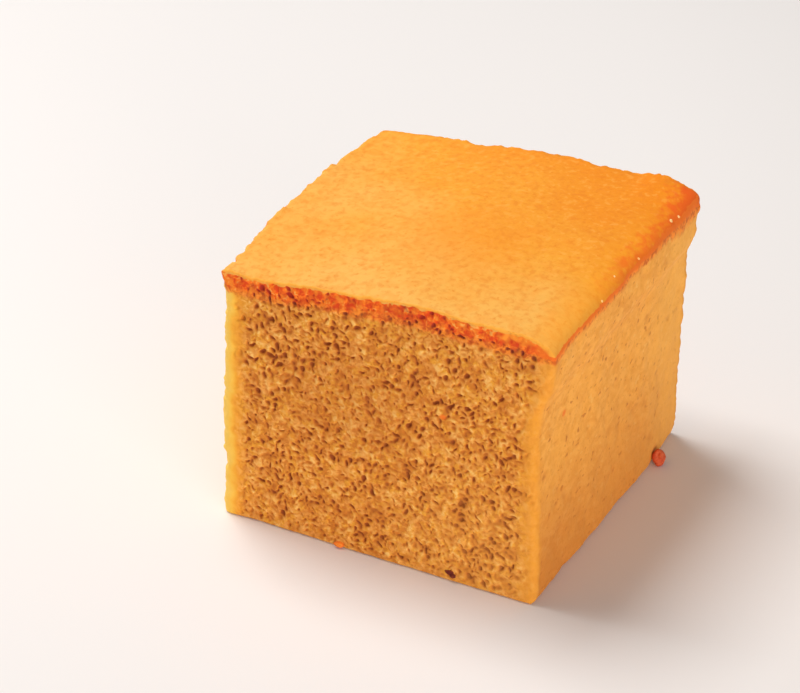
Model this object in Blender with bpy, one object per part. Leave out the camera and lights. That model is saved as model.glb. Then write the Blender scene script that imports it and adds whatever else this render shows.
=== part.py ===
"""Castella sponge cake: one thick square-cut block of plain sponge.

The block is a single solid. It was baked in a frame, so its left and right
walls and its top are skin, and it was cut with a knife at the front and at the
back, so those two ends are flat crumb faces with a sharp upper rim. The top
rises from the left wall to a crown right of the middle and then rolls over a
broad shoulder into the right wall, whose upper part flares out under the skin.

Units are metres, +Z is up. X runs along the front cut face, Y runs from the
front cut face (-Y) to the back one (+Y). The origin is the middle of the
bottom face.
"""

import math

import bmesh
import bpy

# ---------------------------------------------------------------- dimensions
MM = 0.001

WIDTH = 60.0 * MM             # between the side walls, along the cut face
DEPTH = 60.1 * MM             # between the two knife cuts
RIM_HEIGHT = 48.4 * MM        # bottom to the top skin at the left wall
CROWN_RISE = 2.7 * MM         # the top climbs this much from left to right
CROWN_RUN = 38.0 * MM         # length over which it climbs
CROWN_FADE = 0.10             # share of the climb lost towards the back
DOME_RISE = 0.8 * MM          # extra height half way between the two cuts

SHOULDER_ACROSS = 8.0 * MM    # right shoulder, measured along the top
SHOULDER_DOWN = 3.4 * MM      # right shoulder, measured down the wall
LEFT_RIM_RADIUS = 0.9 * MM    # the left rim is almost a sharp edge
BASE_RADIUS_LEFT = 1.7 * MM   # lower left edge
BASE_RADIUS_RIGHT = 1.1 * MM  # lower right edge

CORNER_RADIUS_LEFT = 1.8 * MM   # upright corners of the left wall
CORNER_RADIUS_RIGHT = 1.5 * MM  # upright corners of the right wall
CORNER_RADIUS_RIM = 0.4 * MM    # all of them close up to this at the top skin
CORNER_RIM_BAND = 5.0 * MM      # height of the band in which they close up

LEFT_BULGE = 0.8 * MM         # left wall swells out half way along, high up
LEFT_FOOT = 0.6 * MM          # left wall stands out at its front, low down
RIGHT_HOLLOW = 1.1 * MM       # right wall sinks in at its front, half way up
RIGHT_TOE_IN = 0.8 * MM       # the right wall is this much in at the front
RIGHT_RUN_OUT = 0.5 * MM      # and this much out at the back
FLARE_FRONT = 1.3 * MM        # skin overhang above the right wall, front end
FLARE_BACK = 1.3 * MM         # the same at the back end
FLARE_TOP = 42.5 * MM         # the overhang is full above this height
FLARE_FOOT_FRONT = 36.0 * MM  # and gone below this one, front end
FLARE_FOOT_BACK = 38.5 * MM   # the same at the back end

FRONT_FOOT = 0.9 * MM         # the front cut runs out this far, lower right
BACK_SKEW = 0.55 * MM         # the back cut is skewed by this at the top
BACK_DROP = 0.5 * MM          # the rim falls this much at the far left corner

TOP_RIPPLE = 0.16 * MM        # slow unevenness of the top skin
WALL_RIPPLE = 0.18 * MM       # slow unevenness of the walls
CUT_RIPPLE = 0.08 * MM        # slow unevenness of the knife cuts

CUTS = 21                     # grid lines added across each side of the block
EDGE_CROWDING = 0.86          # 0 is an even grid, towards 1 crowds the edges

HALF_W = WIDTH / 2
HALF_D = DEPTH / 2


# ------------------------------------------------------------------- helpers
def smooth(t):
    """0 below 0, 1 above 1, with a soft start and a soft end."""
    t = min(1.0, max(0.0, t))
    return t * t * (3.0 - 2.0 * t)


def bump(t):
    """0 at -1 and at 1, 1 in the middle."""
    t = min(1.0, max(-1.0, t))
    return (1.0 - t * t) ** 2


def crowd(t):
    """Even steps from -1 to 1 become steps that are closer near the ends."""
    angle = EDGE_CROWDING * math.pi / 2
    return math.sin(t * angle) / math.sin(angle)


def round_corner(p, q, reach_p, reach_q):
    """Pull a point of a square corner onto an elliptic one.

    p and q are the distances from the two sides that meet at the corner; the
    corner's curve starts reach_p and reach_q away from it.
    """
    a = 1.0 - p / reach_p
    b = 1.0 - q / reach_q
    if a <= 0.0 or b <= 0.0:
        return p, q
    pull = max(a, b) / math.hypot(a, b)
    return reach_p * (1.0 - a * pull), reach_q * (1.0 - b * pull)


def wave(a, b, length, phase):
    """A slow, irregular wave over two coordinates, between about -1 and 1."""
    k = 2 * math.pi / length
    return (0.45 * math.sin(k * a + 1.3 * phase + 0.6 * math.sin(k * 0.7 * b))
            + 0.35 * math.sin(k * 1.31 * b + 2.1 * phase)
            + 0.20 * math.sin(k * 1.9 * (a + 0.6 * b) + 0.7 * phase))


# ---------------------------------------------------------- form of the cake
def top_height(x, y):
    """Height of the top skin above the bottom."""
    climb = CROWN_RISE * smooth((x + HALF_W) / CROWN_RUN)
    climb *= 1.0 - CROWN_FADE * smooth(y / HALF_D)
    dome = DOME_RISE * (1.0 - (y / HALF_D) ** 2)
    drop = BACK_DROP * smooth(y / HALF_D) * smooth(-x / HALF_W)
    return (RIM_HEIGHT + climb + dome - drop
            + TOP_RIPPLE * wave(x, y, 34 * MM, 0.4))


def left_wall(y, z):
    """How far the left wall lies from its plane; minus is outwards."""
    level = z / RIM_HEIGHT
    swell = LEFT_BULGE * (1.0 - (y / HALF_D) ** 2) * (0.35 + 0.65 * level)
    foot = LEFT_FOOT * smooth(-y / HALF_D) * smooth(1.15 - level)
    return -swell - foot + WALL_RIPPLE * wave(y, z, 21 * MM, 1.7)


def right_wall(y, z):
    """How far the right wall lies from its plane; plus is outwards."""
    back = (y + HALF_D) / DEPTH
    level = z / RIM_HEIGHT
    toe_in = RIGHT_TOE_IN * (1.0 - smooth(back * 1.25))
    hollow = RIGHT_HOLLOW * (1.0 - back) * bump((level - 0.62) / 0.42)
    overhang = FLARE_FRONT + (FLARE_BACK - FLARE_FRONT) * back
    overhang_foot = FLARE_FOOT_FRONT + (
        FLARE_FOOT_BACK - FLARE_FOOT_FRONT) * back
    flare = overhang * smooth((z - overhang_foot) / (FLARE_TOP - overhang_foot))
    foot = 0.5 * MM * smooth(1.0 - z / (4 * MM)) * smooth((back - 0.75) * 4)
    return (flare - toe_in + RIGHT_RUN_OUT * back - hollow - foot
            + WALL_RIPPLE * wave(y, z, 24 * MM, 3.1))


def front_cut(x, z):
    """How far the front cut lies from its plane; minus is outwards."""
    right = (x + HALF_W) / WIDTH
    level = z / RIM_HEIGHT
    return (-FRONT_FOOT * smooth(right * 1.2) * (1.0 - 0.85 * smooth(level))
            + CUT_RIPPLE * wave(x, z, 27 * MM, 5.2))


def back_cut(x, z):
    """How far the back cut lies from its plane; plus is outwards."""
    level = z / RIM_HEIGHT
    return (BACK_SKEW * (x / HALF_W) * smooth(level)
            + CUT_RIPPLE * wave(x, z, 25 * MM, 6.3))


def place(u, v, w):
    """Take a point of the cube from -1 to 1 to its place on the cake."""
    x = HALF_W * crowd(u)
    y = HALF_D * crowd(v)
    z = RIM_HEIGHT * (crowd(w) + 1.0) / 2

    # long edges: right shoulder, left rim and the two lower edges
    if x > 0 and z > RIM_HEIGHT / 2:
        p, q = round_corner(HALF_W - x, RIM_HEIGHT - z,
                            SHOULDER_ACROSS, SHOULDER_DOWN)
        x, z = HALF_W - p, RIM_HEIGHT - q
    elif x <= 0 and z > RIM_HEIGHT / 2:
        p, q = round_corner(x + HALF_W, RIM_HEIGHT - z,
                            LEFT_RIM_RADIUS, LEFT_RIM_RADIUS)
        x, z = p - HALF_W, RIM_HEIGHT - q
    elif x > 0:
        p, z = round_corner(HALF_W - x, z,
                            BASE_RADIUS_RIGHT, BASE_RADIUS_RIGHT)
        x = HALF_W - p
    else:
        p, z = round_corner(x + HALF_W, z, BASE_RADIUS_LEFT, BASE_RADIUS_LEFT)
        x = p - HALF_W

    # upright corners between the walls and the cuts
    radius = CORNER_RADIUS_RIGHT if x > 0 else CORNER_RADIUS_LEFT
    near_rim = smooth(1.0 - (RIM_HEIGHT - z) / CORNER_RIM_BAND)
    radius += (CORNER_RADIUS_RIM - radius) * near_rim
    p, q = round_corner(HALF_W - abs(x), HALF_D - abs(y), radius, radius)
    x = math.copysign(HALF_W - p, x)
    y = math.copysign(HALF_D - q, y)

    # bend the walls, the cuts and the top to their own outlines
    right = (x + HALF_W) / WIDTH
    back = (y + HALF_D) / DEPTH
    moved_x = x + (1.0 - right) * left_wall(y, z) + right * right_wall(y, z)
    moved_y = y + (1.0 - back) * front_cut(x, z) + back * back_cut(x, z)
    moved_z = z * top_height(x, y) / RIM_HEIGHT
    return moved_x, moved_y, moved_z


# ------------------------------------------------------------------ building
def clear_scene():
    for obj in list(bpy.data.objects):
        bpy.data.objects.remove(obj, do_unlink=True)


def crumb_material():
    mat = bpy.data.materials.new("baked_sponge")
    mat.use_nodes = True
    shader = mat.node_tree.nodes["Principled BSDF"]
    shader.inputs["Base Color"].default_value = (0.80, 0.42, 0.12, 1.0)
    shader.inputs["Roughness"].default_value = 0.85
    shader.inputs["Metallic"].default_value = 0.0
    return mat


def build_block(name, collection):
    bm = bmesh.new()
    bmesh.ops.create_cube(bm, size=2.0)
    bmesh.ops.subdivide_edges(bm, edges=bm.edges[:], cuts=CUTS,
                              use_grid_fill=True)
    for vert in bm.verts:
        vert.co = place(*vert.co)

    # stand the block on z = 0 with the middle of its box over the origin
    low = [min(v.co[i] for v in bm.verts) for i in range(3)]
    high = [max(v.co[i] for v in bm.verts) for i in range(3)]
    for vert in bm.verts:
        vert.co.x -= (low[0] + high[0]) / 2
        vert.co.y -= (low[1] + high[1]) / 2
        vert.co.z -= low[2]

    bmesh.ops.recalc_face_normals(bm, faces=bm.faces[:])
    mesh = bpy.data.meshes.new(name)
    bm.to_mesh(mesh)
    bm.free()
    mesh.shade_smooth()
    mesh.set_sharp_from_angle(angle=math.radians(40))

    block = bpy.data.objects.new(name, mesh)
    block.data.materials.append(crumb_material())
    collection.objects.link(block)
    return block


def main():
    clear_scene()
    cake = bpy.data.collections.new("castella_cake")
    bpy.context.scene.collection.children.link(cake)
    build_block("sponge_block", cake)


main()
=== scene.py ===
"""Castella sponge cake: the looks.

The cake is one closed skin. It starts as the block's true outline (the same
named sizes as the solid). Both knife cuts are then pressed in by small pores,
each a stretched, turned pit with soft lips, that join where they touch and die
out towards the dense, baked rims. The two plain walls get a fine grain and a
few shallow pores. How deep a point lies under each outer face is kept on the
mesh, and the material is built from those depths.

Lengths inside the geometry code are millimetres.
"""

import math

import bmesh
import bpy
import numpy as np
from mathutils import Matrix, Vector


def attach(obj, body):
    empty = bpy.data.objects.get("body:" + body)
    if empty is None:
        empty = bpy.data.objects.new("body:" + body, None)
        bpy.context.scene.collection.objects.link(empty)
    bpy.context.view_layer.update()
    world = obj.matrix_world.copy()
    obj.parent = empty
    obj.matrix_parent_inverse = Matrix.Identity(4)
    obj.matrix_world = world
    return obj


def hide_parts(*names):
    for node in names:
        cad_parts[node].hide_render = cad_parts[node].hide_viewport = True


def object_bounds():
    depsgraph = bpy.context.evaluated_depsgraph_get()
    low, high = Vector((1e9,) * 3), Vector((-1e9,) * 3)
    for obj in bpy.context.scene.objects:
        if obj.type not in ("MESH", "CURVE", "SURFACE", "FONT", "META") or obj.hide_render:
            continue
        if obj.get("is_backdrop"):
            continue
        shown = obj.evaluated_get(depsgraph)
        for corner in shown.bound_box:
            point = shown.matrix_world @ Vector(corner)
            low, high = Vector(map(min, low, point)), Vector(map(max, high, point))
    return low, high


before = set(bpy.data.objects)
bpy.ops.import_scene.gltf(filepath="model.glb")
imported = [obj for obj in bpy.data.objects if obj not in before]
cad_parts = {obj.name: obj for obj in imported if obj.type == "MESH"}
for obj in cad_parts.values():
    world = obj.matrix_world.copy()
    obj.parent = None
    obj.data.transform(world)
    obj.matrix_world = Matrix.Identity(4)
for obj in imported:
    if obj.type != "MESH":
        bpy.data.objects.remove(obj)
CAD_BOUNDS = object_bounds()

MM = 0.001
CENTRE = (0.4559, -0.2353)  # from the outline's own axes to the part's origin
TRIANGLES = 194000
FINER_FRONT = 6e-4  # how much dearer it is to thin out the front cut

# ------------------------------------------------------------ outline, in mm
WIDTH, DEPTH, RIM = 60.0, 60.1, 48.4
CROWN_RISE, CROWN_RUN, CROWN_FADE = 2.7, 38.0, 0.10
DOME_RISE = 0.8
SHOULDER_ACROSS, SHOULDER_DOWN = 8.0, 3.4
LEFT_RIM_RADIUS, BASE_RADIUS_LEFT, BASE_RADIUS_RIGHT = 0.9, 1.7, 1.1
CORNER_LEFT, CORNER_RIGHT, CORNER_RIM, CORNER_BAND = 1.8, 1.5, 0.4, 5.0
LEFT_BULGE, LEFT_FOOT = 0.8, 0.6
RIGHT_HOLLOW, RIGHT_TOE_IN, RIGHT_RUN_OUT = 1.1, 0.8, 0.5
FLARE_FRONT, FLARE_BACK, FLARE_TOP = 1.3, 1.3, 42.5
FLARE_FOOT_FRONT, FLARE_FOOT_BACK = 36.0, 38.5
FRONT_FOOT, BACK_SKEW, BACK_DROP = 0.9, 0.55, 0.5
TOP_RIPPLE, WALL_RIPPLE, CUT_RIPPLE = 0.16, 0.18, 0.08
HALF_W, HALF_D = WIDTH / 2, DEPTH / 2


def smooth(t):
    t = np.clip(t, 0.0, 1.0)
    return t * t * (3.0 - 2.0 * t)


def bump(t):
    t = np.clip(t, -1.0, 1.0)
    return (1.0 - t * t) ** 2


def wave(a, b, length, phase):
    k = 2 * math.pi / length
    return (0.45 * np.sin(k * a + 1.3 * phase + 0.6 * np.sin(k * 0.7 * b))
            + 0.35 * np.sin(k * 1.31 * b + 2.1 * phase)
            + 0.20 * np.sin(k * 1.9 * (a + 0.6 * b) + 0.7 * phase))


# ------------------------------------------------------------- random fields
def spline_weights(t):
    """The four cubic B-spline weights at a fraction t between knots."""
    return ((1 - t) ** 3 / 6, (3 * t**3 - 6 * t**2 + 4) / 6,
            (-3 * t**3 + 3 * t**2 + 3 * t + 1) / 6, t**3 / 6)


_tables = {}


def table(seed, dims):
    key = (seed, dims)
    if key not in _tables:
        size = 96 if dims == 2 else 48
        rng = np.random.default_rng(seed)
        _tables[key] = rng.standard_normal((size,) * dims).astype(np.float32)
    return _tables[key]


def noise2(a, b, length, seed):
    """Smooth random field over two coordinates, about -2 to 2."""
    t = table(seed, 2)
    n = t.shape[0]
    a, b = np.broadcast_arrays(np.asarray(a, float) / length + 31.7,
                               np.asarray(b, float) / length + 17.3)
    i, j = np.floor(a).astype(int), np.floor(b).astype(int)
    wa, wb = spline_weights(a - i), spline_weights(b - j)
    out = 0.0
    for p in range(4):
        for q in range(4):
            out = out + wa[p] * wb[q] * t[(i + p) % n, (j + q) % n]
    return 2.08 * out


def noise3(x, y, z, length, seed):
    """Smooth random field at scattered points, about -2 to 2."""
    t = table(seed, 3)
    n = t.shape[0]
    x, y, z = (np.asarray(v, float) / length + 23.1 for v in (x, y, z))
    i, j, k = (np.floor(v).astype(int) for v in (x, y, z))
    wx, wy, wz = (spline_weights(v - f) for v, f in ((x, i), (y, j), (z, k)))
    out = 0.0
    for p in range(4):
        for q in range(4):
            for r in range(4):
                out = out + (wx[p] * wy[q] * wz[r]
                             * t[(i + p) % n, (j + q) % n, (k + r) % n])
    return 3.0 * out


# ---------------------------------------------------------- form of the cake
def top_height(x, y):
    climb = CROWN_RISE * smooth((x + HALF_W) / CROWN_RUN)
    climb = climb * (1.0 - CROWN_FADE * smooth(y / HALF_D))
    dome = DOME_RISE * (1.0 - (y / HALF_D) ** 2)
    drop = BACK_DROP * smooth(y / HALF_D) * smooth(-x / HALF_W)
    drop = drop - 0.6 * bump((x + 20.0) / 13.0) * smooth((y - 18.0) / 11.0)
    drop = drop - 0.7 * smooth((x - 19.0) / 7.0) * smooth((y - 20.0) / 9.0)
    slow = TOP_RIPPLE * wave(x, y, 34.0, 0.4)
    fine = 0.045 * noise2(x, y, 2.6, 11) + 0.022 * noise2(x, y, 1.1, 12)
    side = smooth((-x - HALF_W + 2.0) / 2.0)
    ends = smooth((np.abs(y) - HALF_D + 1.1) / 1.0)
    lumps = (0.11 * noise2(x, y, 0.55, 13) + 0.10 * noise2(x, y, 1.3, 14))
    return (RIM + climb + dome - drop + slow + fine
            + lumps * np.maximum(side, 0.9 * ends))


def left_wall(y, z):
    level = z / RIM
    swell = LEFT_BULGE * (1.0 - (y / HALF_D) ** 2) * (0.35 + 0.65 * level)
    foot = LEFT_FOOT * smooth(-y / HALF_D) * smooth(1.15 - level)
    slow = WALL_RIPPLE * wave(y, z, 21.0, 1.7)
    ragged = (0.10 * noise2(y, z, 0.5, 20) + 0.10 * noise2(y, z, 1.1, 21)
              + 0.07 * noise2(y, z, 3.4, 22))
    return -swell - foot + slow + ragged


def right_wall(y, z):
    back = (y + HALF_D) / DEPTH
    level = z / RIM
    toe_in = RIGHT_TOE_IN * (1.0 - smooth(back * 1.25))
    hollow = RIGHT_HOLLOW * (1.0 - back) * bump((level - 0.62) / 0.42)
    over = FLARE_FRONT + (FLARE_BACK - FLARE_FRONT) * back
    over_foot = FLARE_FOOT_FRONT + (FLARE_FOOT_BACK - FLARE_FOOT_FRONT) * back
    flare = over * smooth((z - over_foot) / (FLARE_TOP - over_foot))
    foot = 0.5 * smooth(1.0 - z / 4.0) * smooth((back - 0.75) * 4)
    slow = WALL_RIPPLE * wave(y, z, 24.0, 3.1)
    fine = 0.05 * noise2(y, z, 2.2, 31) + 0.025 * noise2(y, z, 0.9, 32)
    rough = 0.08 * smooth((y - HALF_D + 3.0) / 2.5) * noise2(y, z, 0.6, 33)
    return (flare - toe_in + RIGHT_RUN_OUT * back - hollow - foot + slow
            + fine + rough)


def front_cut(x, z):
    right = (x + HALF_W) / WIDTH
    level = z / RIM
    return (-FRONT_FOOT * smooth(right * 1.2) * (1.0 - 0.85 * smooth(level))
            + CUT_RIPPLE * wave(x, z, 27.0, 5.2)
            + 0.06 * noise2(x, z, 3.0, 41))


def back_cut(x, z):
    level = z / RIM
    return (BACK_SKEW * (x / HALF_W) * smooth(level)
            + CUT_RIPPLE * wave(x, z, 25.0, 6.3)
            + 0.06 * noise2(x, z, 3.0, 42))


def rounded(p, q, r):
    """Union of two outsides that meet on an edge of radius r."""
    both = (p > -r) & (q > -r)
    return np.where(both, np.hypot(p + r, q + r) - r, np.maximum(p, q))


def oval(p, q, rp, rq):
    """The same with a wide, low edge: rp along one side, rq down the other."""
    u, v = np.maximum(p + rp, 0) / rp, np.maximum(q + rq, 0) / rq
    both = (u > 0) & (v > 0)
    return np.where(both, (np.hypot(u, v) - 1.0) * rq, np.maximum(p, q))


def sides(x, y, z):
    """Distances out of the right, left, front, back, top and bottom."""
    return (x - HALF_W - right_wall(y, z), -HALF_W + left_wall(y, z) - x,
            -HALF_D + front_cut(x, z) - y, y - HALF_D - back_cut(x, z),
            z - top_height(x, y), -z)


def outline(right, left, front, back, top, base, z):
    """Distance out of the uncut block, minus inside."""
    near_rim = smooth(1.0 - (RIM - z) / CORNER_BAND)
    r_left = CORNER_LEFT + (CORNER_RIM - CORNER_LEFT) * near_rim
    r_right = CORNER_RIGHT + (CORNER_RIM - CORNER_RIGHT) * near_rim
    f = oval(right, top, SHOULDER_ACROSS, SHOULDER_DOWN)
    f = np.maximum(f, rounded(left, top, LEFT_RIM_RADIUS))
    f = np.maximum(f, rounded(right, base, BASE_RADIUS_RIGHT))
    f = np.maximum(f, rounded(left, base, BASE_RADIUS_LEFT))
    for cut, r in ((front, r_left), (back, 2.6)):
        f = np.maximum(f, rounded(right, cut, r_right))
        f = np.maximum(f, rounded(left, cut, r))
        f = np.maximum(f, rounded(cut, base, 0.45))
    return f


# --------------------------------------------------------------------- pores
def scatter(rng, low, high, tries, radius_of, closeness, gap):
    """Pore centres and radii, big ones first, kept clear of each other."""
    points = rng.uniform(low, high, (tries, 2))
    radius = radius_of(points[:, 0], points[:, 1], rng)
    order = np.argsort(-radius, kind="stable")
    cell, buckets, kept = 1.3, {}, []
    for index in order:
        r = float(radius[index])
        if r <= 0:
            break
        pu, pv = (float(c) for c in points[index])
        ci, cj = int(pu // cell), int(pv // cell)
        clear = True
        for i in (ci - 1, ci, ci + 1):
            for j in (cj - 1, cj, cj + 1):
                for qu, qv, s in buckets.get((i, j), ()):
                    reach = closeness * (r + s) + gap
                    if (pu - qu) ** 2 + (pv - qv) ** 2 < reach * reach:
                        clear = False
                        break
                if not clear:
                    break
            if not clear:
                break
        if clear:
            buckets.setdefault((ci, cj), []).append((pu, pv, r))
            kept.append((pu, pv, r))
    return kept


def press(depth, us, vs, pores, rng, stretch, lie, warp, deep_of):
    """Press stretched, turned pores into a depth map; they join on touch."""
    for cu, cv, r in pores:
        e = math.sqrt(1.15 + stretch * rng.random() ** 1.4)
        turn = lie(cu, cv) + rng.normal(0, 0.9)
        deep = deep_of(r) * (0.28 + 1.0 * rng.random() ** 1.4)
        reach = 2.0 * r * e + 0.3
        i0, i1 = np.searchsorted(us, (cu - reach, cu + reach))
        j0, j1 = np.searchsorted(vs, (cv - reach, cv + reach))
        if i0 == i1 or j0 == j1:
            continue
        u = us[i0:i1, None] - cu + warp[0][i0:i1, j0:j1]
        v = vs[None, j0:j1] - cv + warp[1][i0:i1, j0:j1]
        along = u * math.cos(turn) + v * math.sin(turn)
        across = v * math.cos(turn) - u * math.sin(turn)
        q = (along / (r * e)) ** 2 + (across * e / r) ** 2
        cup = deep * (0.70 * np.maximum(1.0 - q / 1.25, 0) ** 1.5
                      + 0.30 * np.maximum(1.0 - q / 4.2, 0) ** 1.6)
        block = depth[i0:i1, j0:j1]
        np.copyto(block, np.maximum(block, cup) + 0.35 * np.minimum(block, cup))


def crumb_depth(xs, zs, sign, seed):
    """How deep the open crumb goes below a knife cut, over x and z."""
    rng = np.random.default_rng(seed)
    x, z = np.broadcast_arrays(xs[:, None], zs[None, :])
    cut = front_cut if sign < 0 else back_cut
    y = sign * HALF_D + 0 * x
    top = top_height(x, y) - z
    left = x + HALF_W - left_wall(y, z)
    right = HALF_W + right_wall(y, z) - x
    warp = [0.11 * noise2(x, z, 0.50, seed + 1 + m)
            + 0.05 * noise2(x, z, 0.32, seed + 3 + m) for m in range(2)]
    drift = 0.9 * noise2(x, z, 1.6, seed + 14)
    inner = np.minimum(np.minimum(smooth((left + drift - 1.9) / 3.0),
                                  smooth((right + drift - 0.4) / 3.2)),
                       np.minimum(smooth((z - 0.1) / 1.0),
                                  smooth((top + 0.2) / 0.9)))

    def at(field, u, v):
        i = np.clip(np.searchsorted(xs, u), 0, len(xs) - 1)
        j = np.clip(np.searchsorted(zs, v), 0, len(zs) - 1)
        return field[i, j]

    def radius_of(u, v, rng):
        r = 0.275 * np.exp(0.28 * rng.standard_normal(len(u)))
        r *= 1.0 + 0.10 * noise2(u, v, 6.0, seed + 9)
        r *= 1.0 + 0.10 * noise2(u, v, 1.5, seed + 8)
        r = np.clip(r, 0.16, 0.55) * (0.55 + 0.45 * at(inner, u, v))
        r[at(inner, u, v) < 0.05] = 0
        return r

    def lie(u, v):
        return -0.15 + 1.2 * float(noise2(u, v, 3.0, seed + 10))

    pores = scatter(rng, (-HALF_W - 1, 0.0), (HALF_W + 1.5, 52.0), 24000,
                    radius_of, 0.82, 0.165)
    depth = np.zeros(x.shape)
    press(depth, xs, zs, pores, rng, 1.6, lie, warp,
          lambda r: 0.11 + 0.86 * r)
    relief = (0.055 * noise2(x, z, 0.70, seed + 12)
              + 0.025 * noise2(x, z, 1.9, seed + 13))
    browned = 1.0 - smooth((top - 1.2) / 1.8)
    relief = relief + browned * 0.10 * noise2(x, z, 0.60, seed + 15)
    return depth * inner * (1.0 - 0.5 * browned) + relief * (0.3 + 0.7 * inner)


def wall_depth(ys, zs, seed, count):
    """The dense walls: a fine grain and a few small pores, over y and z."""
    rng = np.random.default_rng(seed)
    y, z = np.broadcast_arrays(ys[:, None], zs[None, :])
    depth = np.zeros(y.shape)
    pores = [(rng.uniform(-28.5, 28.5), rng.uniform(1.0, 45.5),
              0.22 + 0.42 * rng.random() ** 3) for _ in range(count)]
    still = [np.zeros(y.shape)] * 2
    press(depth, ys, zs, pores, rng, 0.5, lambda u, v: 0.2, still,
          lambda r: 0.03 + 0.28 * r)
    grain = (0.022 * noise2(y, z, 0.55, seed + 1)
             + 0.030 * noise2(y, z, 1.1, seed + 2))
    return depth + grain


# ------------------------------------------------------------ field to faces
def skin_of(field, xs, ys, zs):
    """Closed surface round field < 0: one point a cell, quads between."""
    inside = field < 0
    n = np.array(field.shape) - 1
    total = np.zeros(n, np.int8)
    for i in (0, 1):
        for j in (0, 1):
            for k in (0, 1):
                total += inside[i:n[0] + i, j:n[1] + j, k:n[2] + k]
    ci, cj, ck = np.nonzero((total > 0) & (total < 8))
    del total
    corner = {}
    for i in (0, 1):
        for j in (0, 1):
            for k in (0, 1):
                corner[i, j, k] = field[ci + i, cj + j, ck + k]
    where = np.zeros((len(ci), 3))
    hits = np.zeros(len(ci))
    for axis in range(3):
        for a in (0, 1):
            for b in (0, 1):
                low, high = [a, b], [a, b]
                low.insert(axis, 0)
                high.insert(axis, 1)
                p, q = corner[tuple(low)], corner[tuple(high)]
                cross = (p < 0) != (q < 0)
                t = np.where(cross, p / np.where(cross, p - q, 1), 0)
                spot = [a, b]
                spot.insert(axis, None)
                for m in range(3):
                    where[:, m] += np.where(
                        cross, t if m == axis else spot[m], 0)
                hits += cross
    where /= hits[:, None]
    points = np.empty((len(ci), 3))
    for m, (c, v) in enumerate(((ci, xs), (cj, ys), (ck, zs))):
        points[:, m] = v[c] + where[:, m] * (v[c + 1] - v[c])
    number = np.full(n, -1, np.int32)
    number[ci, cj, ck] = np.arange(len(ci), dtype=np.int32)
    quads = []
    for axis in range(3):
        a = np.moveaxis(inside, axis, 0)
        flips = a[:-1, 1:-1, 1:-1] != a[1:, 1:-1, 1:-1]
        i, j, k = np.nonzero(flips)
        outwards = a[i, j + 1, k + 1]
        num = np.moveaxis(number, axis, 0)
        ring = [num[i, j, k], num[i, j + 1, k], num[i, j + 1, k + 1],
                num[i, j, k + 1]]
        quad = np.stack(ring, 1)
        if axis == 1:  # the two other axes run the other way round here
            outwards = ~outwards
        quad[~outwards] = quad[~outwards][:, ::-1]
        quads.append(quad)
    return points, np.concatenate(quads)


def steps(*parts):
    """Grid lines from (start, step) pairs; the last pair is (end, _)."""
    lines = [parts[0][0]]
    for (a, ha), (b, hb) in zip(parts[:-1], parts[1:]):
        run = b - a
        count = max(1, round(run / ((ha + hb) / 2)))
        h = np.linspace(ha, hb, count)
        lines.extend(a + np.cumsum(h) * (run / h.sum()))
    return np.array(lines)


def make_points():
    h = 0.145
    xs = np.arange(-32.4, 33.5, h)
    zs = np.arange(-0.51, 53.2, h)
    ys = steps((-32.0, 0.145), (-29.0, 0.145), (-27.4, 0.36), (27.4, 0.36),
               (29.0, 0.18), (31.8, 0.18))
    field = np.empty((len(xs), len(ys), len(zs)), np.float32)
    x, z = xs[:, None], zs[None, :]
    front = -HALF_D + front_cut(x, z) + crumb_depth(xs, zs, -1, 60)
    back = HALF_D + back_cut(x, z) - crumb_depth(xs, zs, 1, 90)
    into_right = wall_depth(ys, zs, 120, 210)
    into_left = wall_depth(ys, zs, 130, 240)
    for j, y in enumerate(ys):
        right = x - HALF_W - (right_wall(y, zs) - into_right[j])[None, :]
        left = -HALF_W + (left_wall(y, zs) + into_left[j])[None, :] - x
        top = z - top_height(xs, y)[:, None]
        field[:, j] = outline(right, left, front - y, y - back, top,
                              -z + 0 * x, z)
    points, quads = skin_of(field, xs, ys, zs)
    points[:, 2] = np.maximum(points[:, 2], 0.0)
    return points, quads


def mesh_from(name, points, faces):
    mesh = bpy.data.meshes.new(name)
    mesh.vertices.add(len(points))
    mesh.vertices.foreach_set("co", np.asarray(points, np.float32).ravel())
    width = faces.shape[1]
    mesh.loops.add(faces.size)
    mesh.loops.foreach_set("vertex_index", faces.astype(np.int32).ravel())
    mesh.polygons.add(len(faces))
    mesh.polygons.foreach_set(
        "loop_start", np.arange(0, faces.size, width, dtype=np.int32))
    mesh.update(calc_edges=True)
    mesh.validate()
    return mesh


def build_cake():
    points, quads = make_points()
    points[:, 0] -= CENTRE[0]
    points[:, 1] -= CENTRE[1]
    mesh = mesh_from("sponge", points * MM, quads)
    cake = bpy.data.objects.new("sponge", mesh)
    bpy.context.scene.collection.objects.link(cake)
    group = cake.vertex_groups.new(name="thin_here")
    front = points[:, 1] < -28.5
    right = (points[:, 0] > 26.5) & ~front
    for here, weight in ((front, 0.5), (right, 0.86), (~front & ~right, 1.0)):
        group.add(np.nonzero(here)[0].tolist(), weight, "REPLACE")
    thin = cake.modifiers.new("thin_out", "DECIMATE")
    thin.vertex_group = "thin_here"
    thin.vertex_group_factor = FINER_FRONT
    thin.ratio = TRIANGLES / (2.0 * len(quads))
    thin.use_collapse_triangulate = True
    graph = bpy.context.evaluated_depsgraph_get()
    light = bpy.data.meshes.new_from_object(cake.evaluated_get(graph))
    cake.modifiers.clear()
    cake.data = light
    bpy.data.meshes.remove(mesh)
    for vert in light.vertices:
        if vert.co.z < 0.0:
            vert.co.z = 0.0
    light.name = "sponge"
    light.shade_smooth()
    return cake


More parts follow.
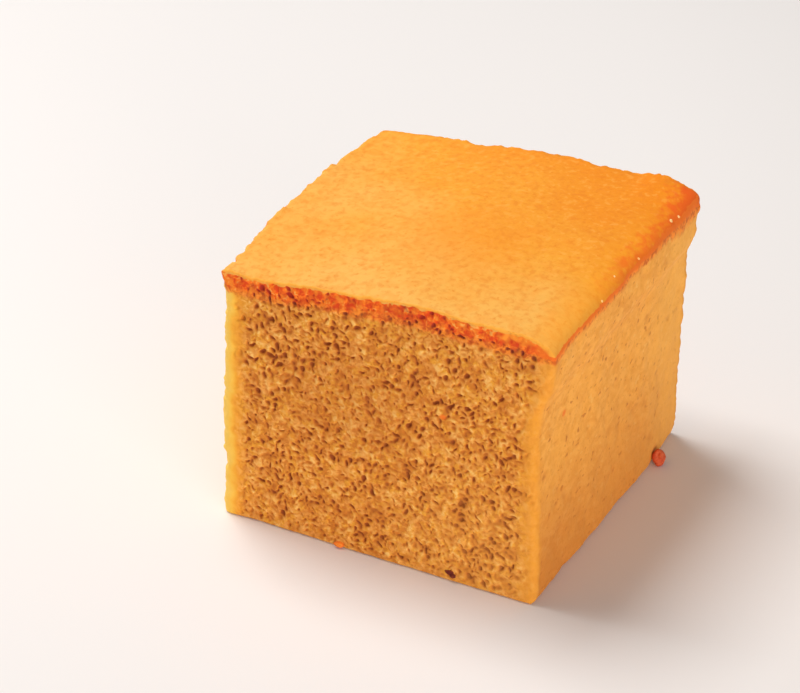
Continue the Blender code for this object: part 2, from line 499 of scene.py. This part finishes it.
def add_depths(mesh):
    """Keeps on each point how deep it lies under each outer face, in mm.

    "crust" is the depth under the browned top. It follows the rounded right
    shoulder and runs out quickly below it, so that the wall shows only a line.
    """
    co = np.empty(len(mesh.vertices) * 3, np.float32)
    mesh.vertices.foreach_get("co", co)
    p = co.reshape(-1, 3).astype(float) / MM
    x, y, z = p[:, 0] + CENTRE[0], p[:, 1] + CENTRE[1], p[:, 2]
    right, left, front, back, top, base = sides(x, y, z)
    f = outline(right, left, front, back, top, base, z)
    under_cut = np.maximum(-np.maximum(front, back), 0)
    ends = 2.75 - 0.65 * smooth((y + 5.0) / 25.0)
    runs_out = 3.8 - 2.0 * smooth((y - 6.0) / 20.0)
    crust = -oval(right, top, SHOULDER_ACROSS, SHOULDER_DOWN)
    crust = np.maximum(crust, runs_out * (-top - ends))
    crust = np.maximum(crust, 3.2 * (-top - 0.5) * smooth(under_cut / 0.8)
                       * smooth(1.0 + left / 2.0))
    values = {
        "pit": -f,
        "crust": np.maximum(crust, 0),
        "under_right": np.maximum(-right, 0),
        "under_left": np.maximum(-left, 0),
        "under_cut": under_cut,
    }
    for name, v in values.items():
        layer = mesh.attributes.new(name, "FLOAT", "POINT")
        layer.data.foreach_set("value", v.astype(np.float32))


cake = build_cake()
add_depths(cake.data)


# ----------------------------------------------------------------- materials
def node(tree, kind, **settings):
    n = tree.nodes.new(kind)
    for key, value in settings.items():
        setattr(n, key, value)
    return n


class Graph:
    """Short names for the few kinds of node that the materials use."""

    def __init__(self, name):
        self.mat = bpy.data.materials.new(name)
        self.mat.use_nodes = True
        self.tree = self.mat.node_tree
        self.tree.nodes.clear()
        self.out = node(self.tree, "ShaderNodeOutputMaterial")
        self.shader = node(self.tree, "ShaderNodeBsdfPrincipled")
        self.tree.links.new(self.shader.outputs[0], self.out.inputs[0])

    def link(self, a, b):
        self.tree.links.new(a, b)

    def put(self, value, socket):
        if isinstance(value, (int, float)):
            socket.default_value = value
        elif isinstance(value, (tuple, list)):
            socket.default_value = (*value, 1.0)[:len(socket.default_value)]
        else:
            self.link(value, socket)

    def attribute(self, name):
        n = node(self.tree, "ShaderNodeAttribute", attribute_name=name)
        return n.outputs["Fac"]

    def place(self):
        n = node(self.tree, "ShaderNodeTexCoord")
        return n.outputs["Object"]

    def noise(self, scale, detail=2.0, rough=0.5, vector=None, distort=0.0):
        n = node(self.tree, "ShaderNodeTexNoise")
        n.inputs["Scale"].default_value = scale
        n.inputs["Detail"].default_value = detail
        n.inputs["Roughness"].default_value = rough
        n.inputs["Distortion"].default_value = distort
        self.link(vector or self.place(), n.inputs["Vector"])
        return n.outputs["Fac"]

    def ramp(self, value, a, b, low=0.0, high=1.0, soft=True):
        n = node(self.tree, "ShaderNodeMapRange",
                 interpolation_type="SMOOTHSTEP" if soft else "LINEAR")
        n.clamp = True
        self.put(value, n.inputs["Value"])
        for key, v in (("From Min", a), ("From Max", b), ("To Min", low),
                       ("To Max", high)):
            self.put(v, n.inputs[key])
        return n.outputs["Result"]

    def math(self, operation, a, b=0.0):
        n = node(self.tree, "ShaderNodeMath", operation=operation)
        self.put(a, n.inputs[0])
        self.put(b, n.inputs[1])
        return n.outputs[0]

    def mix(self, factor, a, b, blend="MIX"):
        n = node(self.tree, "ShaderNodeMix", data_type="RGBA",
                 blend_type=blend)
        n.clamp_factor = True
        self.put(factor, n.inputs["Factor"])
        self.put(a, n.inputs[6])
        self.put(b, n.inputs[7])
        return n.outputs[2]

    def spot(self, at, inner, outer, strength):
        """Strength of a soft round patch about a point, in metres."""
        n = node(self.tree, "ShaderNodeVectorMath", operation="DISTANCE")
        self.link(self.place(), n.inputs[0])
        n.inputs[1].default_value = at
        return self.ramp(n.outputs["Value"], inner, outer, strength, 0.0)


def srgb(r, g, b):
    """Display colour, 0 to 255, to linear."""
    def one(c):
        c /= 255.0
        return c / 12.92 if c <= 0.04045 else ((c + 0.055) / 1.055) ** 2.4
    return (one(r), one(g), one(b))


def sponge_material():
    g = Graph("castella_sponge")
    pit = g.attribute("pit")
    crust = g.attribute("crust")
    right = g.attribute("under_right")
    left = g.attribute("under_left")
    cut = g.attribute("under_cut")
    split = node(g.tree, "ShaderNodeSeparateXYZ")
    g.link(g.place(), split.inputs[0])
    px, py, pz = split.outputs

    patchy = g.noise(330.0, 2.0)
    cloud = g.noise(110.0, 3.0)
    speck = g.noise(900.0, 2.0)
    fleck = g.noise(1500.0, 2.0)

    # crumb: golden; browner deep inside a pore, partly its moist inside and partly painted
    # shade of the pore, and paler on the tips that stand up, partly a painted highlight
    worm = g.noise(980.0, 2.0, 0.55, distort=0.5)
    crumb = g.mix(g.ramp(g.noise(690.0, 2.0), 0.40, 0.60),
                  srgb(238, 162, 52), srgb(241, 165, 78))
    crumb = g.mix(g.ramp(patchy, 0.35, 0.65, 0.0, 0.4), crumb,
                  srgb(230, 147, 56))
    crumb = g.mix(g.ramp(worm, 0.34, 0.50, 0.75, 0.0), crumb,
                  srgb(200, 112, 36))
    # partly painted highlight: paler where the crumb stands up
    pale_tips_and_highlight = g.ramp(pit, -0.12, 0.10, 1.0, 0.25)
    crumb = g.mix(g.math("MULTIPLY", pale_tips_and_highlight, g.ramp(worm, 0.50, 0.66)),
                  crumb, srgb(254, 200, 112))
    # partly painted shade: the deeper into a pore, the browner and darker
    crumb = g.mix(g.ramp(pit, -0.02, 0.24), crumb, srgb(208, 121, 40))
    deep = g.ramp(pit, 0.15, 0.42)
    crumb = g.mix(deep, crumb, srgb(156, 76, 30))

    # painted shade makes the crumb darker about its centre, and painted light from the
    # floor makes it lighter towards the right foot
    across = g.math("ABSOLUTE", g.math("ADD", px, 0.006))
    upward = g.math("ABSOLUTE", g.math("ADD", pz, -0.029))
    painted_shade_centre = g.math("MULTIPLY", g.ramp(across, 0.003, 0.017, 0.26, 0.0),
                    g.ramp(upward, 0.003, 0.014, 1.0, 0.0))
    crumb = g.mix(painted_shade_centre, crumb, srgb(190, 104, 36))
    # painted light: lighter towards the right foot, where the floor throws light up
    foot = g.math("MULTIPLY", g.ramp(px, -0.010, 0.024),
                  g.ramp(pz, 0.004, 0.034, 0.20, 0.0))
    crumb = g.mix(foot, crumb, srgb(252, 184, 84))
    crumb = g.mix(g.spot((0.01078, -0.02998, 0.0317), 0.0003, 0.0008, 0.7),
                  crumb, srgb(250, 118, 36))

    # the cake's dense rim just inside the walls; at the left it is bright yellow, partly
    # its own pale colour and partly a painted glow of the light from the left
    rim = g.math("ADD", left, g.ramp(patchy, 0.2, 0.8, -0.7, 0.7, soft=False))
    # partly painted glow: yellower towards the left edge
    crumb = g.mix(g.ramp(rim, 2.6, 5.0, 0.8, 0.0), crumb,
                  srgb(252, 168, 52))
    crumb = g.mix(g.ramp(rim, 1.7, 3.3, 0.9, 0.0), crumb, srgb(255, 196, 70))
    crumb = g.mix(g.ramp(rim, 0.7, 2.6, 1.0, 0.0), crumb, srgb(255, 208, 97))
    rim = g.math("ADD", right, g.ramp(patchy, 0.2, 0.8, -1.0, 1.0, soft=False))
    crumb = g.mix(g.ramp(rim, 0.6, 4.2, 0.8, 0.0), crumb,
                  srgb(238, 156, 52))

    # dense walls, with painted shade darkening them towards the foot
    drawn = node(g.tree, "ShaderNodeVectorMath", operation="MULTIPLY")
    drawn.inputs[1].default_value = (1.0, 0.72, 1.0)
    g.link(g.place(), drawn.inputs[0])
    drawn = drawn.outputs[0]
    mottle = g.mix(g.ramp(g.noise(620.0, 3.0, vector=drawn, distort=0.8),
                          0.35, 0.65),
                   srgb(238, 158, 64), srgb(252, 178, 82))
    mottle = g.mix(g.ramp(cloud, 0.3, 0.7, 0.0, 0.5), mottle,
                   srgb(254, 176, 74))
    mottle = g.mix(g.ramp(fleck, 0.60, 0.72, 0.0, 0.45), mottle,
                   srgb(214, 128, 48))
    spots = g.noise(860.0, 1.0, vector=drawn)
    mottle = g.mix(g.ramp(spots, 0.64, 0.76, 0.0, 0.8), mottle,
                   srgb(204, 114, 42))
    mottle = g.mix(g.ramp(spots, 0.26, 0.34, 0.55, 0.0), mottle,
                   srgb(255, 194, 104))
    # painted shade: darker towards the foot, and more so at the front
    mottle = g.mix(g.ramp(pz, 0.002, 0.030, 0.58, 0.0), mottle,
                   srgb(220, 132, 52))
    mottle = g.mix(g.math("MULTIPLY", g.ramp(pz, 0.004, 0.026, 0.30, 0.0),
                          g.ramp(py, -0.026, -0.004, 1.0, 0.0)), mottle,
                   srgb(206, 118, 44))
    mottle = g.mix(g.ramp(py, 0.008, 0.025, 0.0, 0.5), mottle,
                   srgb(255, 186, 86))
    mottle = g.mix(g.spot((0.02781, -0.0194, 0.0315), 0.0003, 0.0009, 0.7),
                   mottle, srgb(244, 112, 40))
    # partly painted shade: browner inside the wall's pores
    mottle = g.mix(g.ramp(pit, 0.02, 0.26), mottle, srgb(204, 116, 46))
    corner = g.math("MULTIPLY", g.ramp(cut, 1.0, 9.0, 0.7, 0.0),
                    g.ramp(left, 0.8, 2.0, 1.0, 0.0))
    mottle = g.mix(corner, mottle, srgb(255, 196, 88))
    near = g.math("MINIMUM", right, left)
    wall = g.math("MULTIPLY", g.ramp(near, 0.5, 1.2, 1.0, 0.0),
                  g.ramp(cut, 0.4, 2.6))
    colour = g.mix(wall, crumb, mottle)

    # browned layer under the top skin, fading into the crumb
    lumps = g.ramp(g.noise(560.0, 2.0), 0.25, 0.75, -0.9, 0.9, soft=False)
    lumps = g.math("ADD", lumps, g.ramp(g.noise(170.0, 1.0), 0.3, 0.7,
                                        -0.6, 0.6, soft=False))
    edge = g.math("ADD", crust, g.math("MULTIPLY", lumps,
                                       g.ramp(crust, 0.3, 1.2)))
    edge = g.math("ADD", edge, g.ramp(px, 0.002, 0.009, -0.35, -0.10))
    tail = g.mix(g.ramp(worm, 0.38, 0.60), srgb(206, 86, 30),
                 srgb(252, 138, 42))
    # partly painted shade: darker inside the pores
    tail = g.mix(g.ramp(pit, 0.10, 0.34), tail, srgb(132, 48, 34))
    reach = g.math("ADD", edge, g.ramp(px, -0.006, 0.010, 0.0, -1.1))
    reach = g.math("ADD", reach, g.ramp(g.noise(640.0, 2.0, distort=0.4),
                                        0.34, 0.66, -1.0, 0.8, soft=False))
    colour = g.mix(g.ramp(reach, 2.8, 6.4, 0.85, 0.0), colour, tail)
    browned = g.mix(g.ramp(worm, 0.36, 0.62), srgb(226, 72, 22),
                    srgb(255, 128, 34))
    browned = g.mix(g.ramp(patchy, 0.50, 0.70), browned,
                    srgb(255, 150, 46))
    # pale flecks, partly a painted highlight
    browned = g.mix(g.ramp(worm, 0.60, 0.70, 0.0, 0.8), browned,
                    srgb(255, 184, 90))
    deeper = g.math("MULTIPLY", g.ramp(edge, 0.8, 1.7),
                    g.ramp(g.noise(400.0, 2.0), 0.40, 0.58, 0.45, 0.0))
    browned = g.mix(deeper, browned, srgb(204, 62, 26))
    # partly painted shade: darker inside the pores
    browned = g.mix(g.ramp(pit, 0.12, 0.36), browned, srgb(176, 50, 30))
    browned = g.mix(g.ramp(right, 1.5, 6.0, 0.75, 0.0), browned,
                    srgb(248, 120, 36))
    browned = g.mix(wall, browned, srgb(246, 120, 36))
    colour = g.mix(g.ramp(edge, 2.2, 3.6, 1.0, 0.0), colour, browned)

    # top skin: deep orange at the back right; towards the front left a painted sheen makes
    # it paler
    painted_sheen_tilt = g.math("ADD", g.math("MULTIPLY", px, 18.5),
                  g.math("MULTIPLY", py, 24.0))
    painted_sheen_tilt = g.math("ADD", painted_sheen_tilt, g.math("MULTIPLY", g.math("MULTIPLY", px, py),
                                      617.0))
    painted_sheen_tilt = g.math("ADD", painted_sheen_tilt, g.math("MULTIPLY", g.ramp(py, 0.002, 0.020),
                                      g.ramp(px, -0.020, 0.002, 0.22, 0.0)))
    painted_sheen_tilt = g.math("ADD", painted_sheen_tilt, g.ramp(g.noise(55.0, 2.0), 0.25, 0.75,
                                      -0.33, 0.33, soft=False))
    skin = g.mix(g.ramp(painted_sheen_tilt, -0.8, 0.1, soft=False), srgb(241, 181, 88),
                 srgb(242, 164, 50))
    skin = g.mix(g.ramp(painted_sheen_tilt, 0.1, 1.3, soft=False), skin,
                 srgb(240, 138, 18))
    skin = g.mix(g.ramp(g.noise(430.0, 3.0, distort=0.9), 0.38, 0.60, 0.28,
                        0.0), skin, srgb(238, 138, 34))
    grain = g.noise(840.0, 2.0, distort=0.3)
    skin = g.mix(g.ramp(grain, 0.30, 0.50, 0.34, 0.0), skin,
                 srgb(224, 122, 26))
    skin = g.mix(g.ramp(grain, 0.53, 0.70, 0.0, 0.34), skin,
                 srgb(252, 182, 84))
    skin = g.mix(g.ramp(fleck, 0.60, 0.74, 0.0, 0.45), skin,
                 srgb(228, 126, 32))
    skin = g.mix(g.spot((0.0040, -0.0055, 0.0515), 0.003, 0.017, 0.40), skin,
                 srgb(240, 142, 34))
    # painted light: brighter orange towards the right shoulder, whose slope turns away
    # from the light
    skin = g.mix(g.ramp(right, 0.5, 7.5, 0.45, 0.0), skin,
                 srgb(255, 160, 28))
    lumpy = g.ramp(g.noise(800.0, 3.0, vector=drawn), 0.30, 0.70, -1.8, 1.8,
                   soft=False)
    corner = g.math("MULTIPLY", g.ramp(py, 0.008, 0.029),
                    g.ramp(g.math("ADD", right, lumpy), 0.2, 5.6, 1.0, 0.0))
    skin = g.mix(g.math("MULTIPLY", corner, 0.9), skin, srgb(234, 78, 22))
    fringe = g.ramp(g.math("ADD", right, lumpy), 0.0, 3.4, 0.75, 0.0)
    skin = g.mix(g.math("MULTIPLY", fringe, g.ramp(py, -0.016, 0.004)), skin,
                 srgb(242, 104, 26))
    limit = g.math("ADD", crust, g.ramp(g.noise(760.0, 2.0), 0.30, 0.70,
                                        -0.45, 0.13, soft=False))
    colour = g.mix(g.ramp(limit, 0.20, 0.38, 1.0, 0.0), colour, skin)
    # painted highlight: a bright line along the top edge of each cut
    painted_edge_highlight = g.math("MULTIPLY", g.ramp(crust, 0.25, 0.60, 1.0, 0.0),
                 g.ramp(cut, 0.0, 0.45, 1.0, 0.0))
    colour = g.mix(g.math("MULTIPLY", painted_edge_highlight, 0.8), colour, srgb(255, 172, 60))

    g.link(colour, g.shader.inputs["Base Color"])
    g.put(g.ramp(fleck, 0.2, 0.8, 0.72, 0.92), g.shader.inputs["Roughness"])
    g.shader.inputs["Specular IOR Level"].default_value = 0.22
    open_crumb = g.math("MULTIPLY", g.ramp(cut, 0.9, 1.6, 1.0, 0.0),
                        g.ramp(crust, 0.2, 0.5))
    fine = node(g.tree, "ShaderNodeBump")
    fine.inputs["Strength"].default_value = 0.15
    fine.inputs["Distance"].default_value = 0.0002
    g.link(g.noise(1900.0, 3.0), fine.inputs["Height"])
    coarse = node(g.tree, "ShaderNodeBump")
    g.put(g.math("MULTIPLY", open_crumb, 0.4), coarse.inputs["Strength"])
    coarse.inputs["Distance"].default_value = 0.0003
    g.link(worm, coarse.inputs["Height"])
    g.link(fine.outputs[0], coarse.inputs["Normal"])
    g.link(coarse.outputs[0], g.shader.inputs["Normal"])
    return g.mat


def side_of(mesh):
    """Which side of the block each face lies on, and its points, in mm.

    0 front, 1 back, 2 top, 3 right, 4 left, 5 base. A face inside a pore
    belongs to the cut that the pore opens on.
    """
    co = np.empty(len(mesh.vertices) * 3, np.float32)
    mesh.vertices.foreach_get("co", co)
    corners = np.empty(len(mesh.loops), np.int32)
    mesh.loops.foreach_get("vertex_index", corners)
    p = co.reshape(-1, 3).astype(float)[corners.reshape(-1, 3)] / MM
    p[:, :, 0] += CENTRE[0]
    p[:, :, 1] += CENTRE[1]
    n = np.cross(p[:, 1] - p[:, 0], p[:, 2] - p[:, 0])
    n /= np.maximum(np.linalg.norm(n, axis=1), 1e-12)[:, None]
    x, y, z = p.mean(axis=1).T
    right, left, front, back, top, base = sides(x, y, z)
    u = (right + SHOULDER_ACROSS) / SHOULDER_ACROSS
    v = (top + SHOULDER_DOWN) / SHOULDER_DOWN
    bend = (u > 0) & (v > 0)
    lid = np.where(bend, np.where(v > 0.42 * u, 0.0, 3.0), np.abs(top))
    wall = np.where(bend, np.where(v > 0.42 * u, 3.0, 0.0), np.abs(right))
    far = np.stack([np.abs(front), np.abs(back), lid, wall, np.abs(left),
                    np.abs(base)], 1)
    facing = np.stack([-n[:, 1], n[:, 1], n[:, 2], n[:, 0], -n[:, 0],
                       -n[:, 2]], 1)
    return np.argmin(far - 1.6 * np.maximum(facing, 0), axis=1), p


def unwrap(mesh):
    """Lays each side of the block flat on its own part of one square."""
    side, p = side_of(mesh)
    x, y, z = p[:, :, 0], p[:, :, 1], p[:, :, 2]
    # left and bottom edge of each plot, its scale in 1/1024 a millimetre,
    # and the two directions of the block that lie along it
    plots = ((4, 4, 8.2, x + 31.5, z), (524, 4, 6.5, 31.8 - x, z),
             (4, 446, 7.0, x + 31.5, y + 31.2),
             (524, 357, 6.5, y + 31.2, z), (524, 710, 5.1, 31.0 - y, z),
             (848, 710, 2.6, x + 31.5, 31.0 - y))
    uv = np.zeros(p.shape[:2] + (2,))
    for k, (a, b, scale, across, up) in enumerate(plots):
        here = side == k
        uv[here, :, 0] = (a + scale * across[here]) / 1024.0
        uv[here, :, 1] = (b + scale * up[here]) / 1024.0
    layer = mesh.uv_layers.new(name="OFBake")
    layer.data.foreach_set("uv", uv.astype(np.float32).ravel())


def crumb_piece(name, lumps, colours, seed):
    """Small lumpy crumbs, each (place, radii, turn) in mm, as one mesh."""
    rng = np.random.default_rng(seed)
    bm = bmesh.new()
    for place, radii, turn in lumps:
        made = bmesh.ops.create_icosphere(bm, subdivisions=4, radius=1.0)
        shift = rng.uniform(0, 40, 3)
        spin = Matrix.Rotation(turn, 3, "Z")
        for vert in made["verts"]:
            q = np.array(vert.co) * 1.7 + shift
            grow = (1.0 + 0.09 * float(noise3(*q, 1.1, 201))
                    + 0.05 * float(noise3(*q, 0.45, 202)))
            v = vert.co * grow
            v = spin @ Vector((v.x * radii[0], v.y * radii[1], v.z * radii[2]))
            v += Vector(place)
            v.z = max(v.z, 0.02)
            vert.co = Vector((v.x - CENTRE[0], v.y - CENTRE[1], v.z)) * MM
    mesh = bpy.data.meshes.new(name)
    bm.to_mesh(mesh)
    bm.free()
    mesh.shade_smooth()
    piece = bpy.data.objects.new(name, mesh)
    bpy.context.scene.collection.objects.link(piece)
    g = Graph(name)
    tone = g.mix(g.ramp(g.noise(900.0, 2.0), 0.35, 0.65), srgb(*colours[0]),
                 srgb(*colours[1]))
    g.link(tone, g.shader.inputs["Base Color"])
    g.shader.inputs["Roughness"].default_value = 0.7
    g.shader.inputs["Specular IOR Level"].default_value = 0.25
    mesh.materials.append(g.mat)
    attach(piece, "root")
    return piece


cake.data.materials.clear()
cake.data.materials.append(sponge_material())
unwrap(cake.data)
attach(cake, "root")
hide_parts("sponge_block")

# the crust crumb's colours are darkened, painted shade of the cake's shadow
crumb_piece("crust_crumb", [((31.55, 18.9, 1.65), (1.05, 1.30, 1.65), 0.4)],
            ((220, 100, 58), (200, 76, 44)), 301)
crumb_piece("orange_crumb", [((-7.6, -30.60, 0.62), (0.85, 0.60, 0.50), 0.1)],
            ((255, 140, 44), (246, 112, 34)), 303)
crumb_piece("dark_crumb", [((13.5, -30.70, 1.75), (0.85, 0.45, 0.50), 0.0),
                           ((14.1, -30.75, 1.15), (0.60, 0.40, 0.40), 0.3)],
            ((104, 34, 26), (150, 70, 32)), 302)
# small grains on the shoulder; their pale cream colour is partly a painted glint
crumb_piece("grains_painted_glint", [((30.68, 18.8, 49.52), (0.36, 0.40, 0.30), 0.2),
                            ((30.98, 21.6, 49.08), (0.26, 0.32, 0.26), 0.7),
                            ((30.80, 3.9, 49.55), (0.24, 0.27, 0.22), 0.4),
                            ((29.90, -4.6, 50.18), (0.20, 0.24, 0.18), 0.1),
                            ((30.54, -11.3, 49.10), (0.24, 0.22, 0.20), 0.9)],
            ((255, 218, 150), (255, 194, 108)), 304)


# -------------------------------------------------------- floor, light, view
def pale_material(name, colour):
    mat = bpy.data.materials.new(name)
    mat.use_nodes = True
    shader = mat.node_tree.nodes["Principled BSDF"]
    shader.inputs["Base Color"].default_value = (*colour, 1.0)
    shader.inputs["Roughness"].default_value = 0.7
    return mat


def add_floor():
    bm = bmesh.new()
    bmesh.ops.create_grid(bm, x_segments=2, y_segments=2, size=3.0)
    mesh = bpy.data.meshes.new("floor")
    bm.to_mesh(mesh)
    bm.free()
    floor = bpy.data.objects.new("floor", mesh)
    floor.location.z = -0.00005
    bpy.context.scene.collection.objects.link(floor)
    mesh.materials.append(pale_material("pale_floor", (0.85, 0.83, 0.83)))
    floor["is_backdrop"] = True


def add_area(name, place, target, size, power, colour):
    light = bpy.data.lights.new(name, "AREA")
    light.shape = "RECTANGLE"
    light.size, light.size_y = size
    light.energy = power
    light.color = colour
    lamp = bpy.data.objects.new(name, light)
    lamp.location = place
    lamp.rotation_euler = (Vector(target) - Vector(place)).to_track_quat(
        "-Z", "Y").to_euler()
    bpy.context.scene.collection.objects.link(lamp)


def add_camera():
    yaw, pitch, roll = (math.radians(v) for v in (-25.56, 30.92, 1.0))
    ahead = Vector((math.sin(yaw) * math.cos(pitch),
                    math.cos(yaw) * math.cos(pitch), -math.sin(pitch)))
    right = Vector((math.cos(yaw), -math.sin(yaw), 0.0))
    up = right.cross(ahead)
    r2 = math.cos(roll) * right + math.sin(roll) * up
    u2 = -math.sin(roll) * right + math.cos(roll) * up
    turn = Matrix((r2, u2, -ahead)).transposed().to_4x4()
    data = bpy.data.cameras.new("view")
    data.sensor_fit = "HORIZONTAL"
    data.sensor_width = 36.0
    data.lens = 2979.0 / 800.0 * 36.0
    data.clip_start, data.clip_end = 0.01, 20.0
    camera = bpy.data.objects.new("view", data)
    camera.matrix_world = Matrix.Translation(
        (0.18288 - CENTRE[0] * MM, -0.40590 - CENTRE[1] * MM, 0.29238)) @ turn
    bpy.context.scene.collection.objects.link(camera)
    bpy.context.scene.camera = camera


add_floor()
add_area("key", (-0.25, 0.06, 0.62), (0, 0, 0.03), (0.32, 0.32), 3.7,
         (1.0, 0.97, 0.93))
add_area("fill", (0.58, -0.55, 0.15), (0, 0, 0.025), (0.56, 0.26), 3.65,
         (1.0, 0.96, 0.90))
add_area("side", (-0.62, 0.02, 0.12), (-0.03, -0.03, 0.03), (0.36, 0.20), 1.1,
         (1.0, 0.96, 0.90))
world = bpy.data.worlds.new("soft")
bpy.context.scene.world = world
world.use_nodes = True
world.node_tree.nodes["Background"].inputs["Color"].default_value = (
    1.0, 0.97, 0.95, 1.0)
world.node_tree.nodes["Background"].inputs["Strength"].default_value = 0.24
bpy.context.scene.view_settings.view_transform = "Standard"
add_camera()


def plain(value):
    if hasattr(value, "__len__"):
        return [plain(v) for v in value]
    return float(value)


{"cad": plain(CAD_BOUNDS), "visual": plain(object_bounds())}
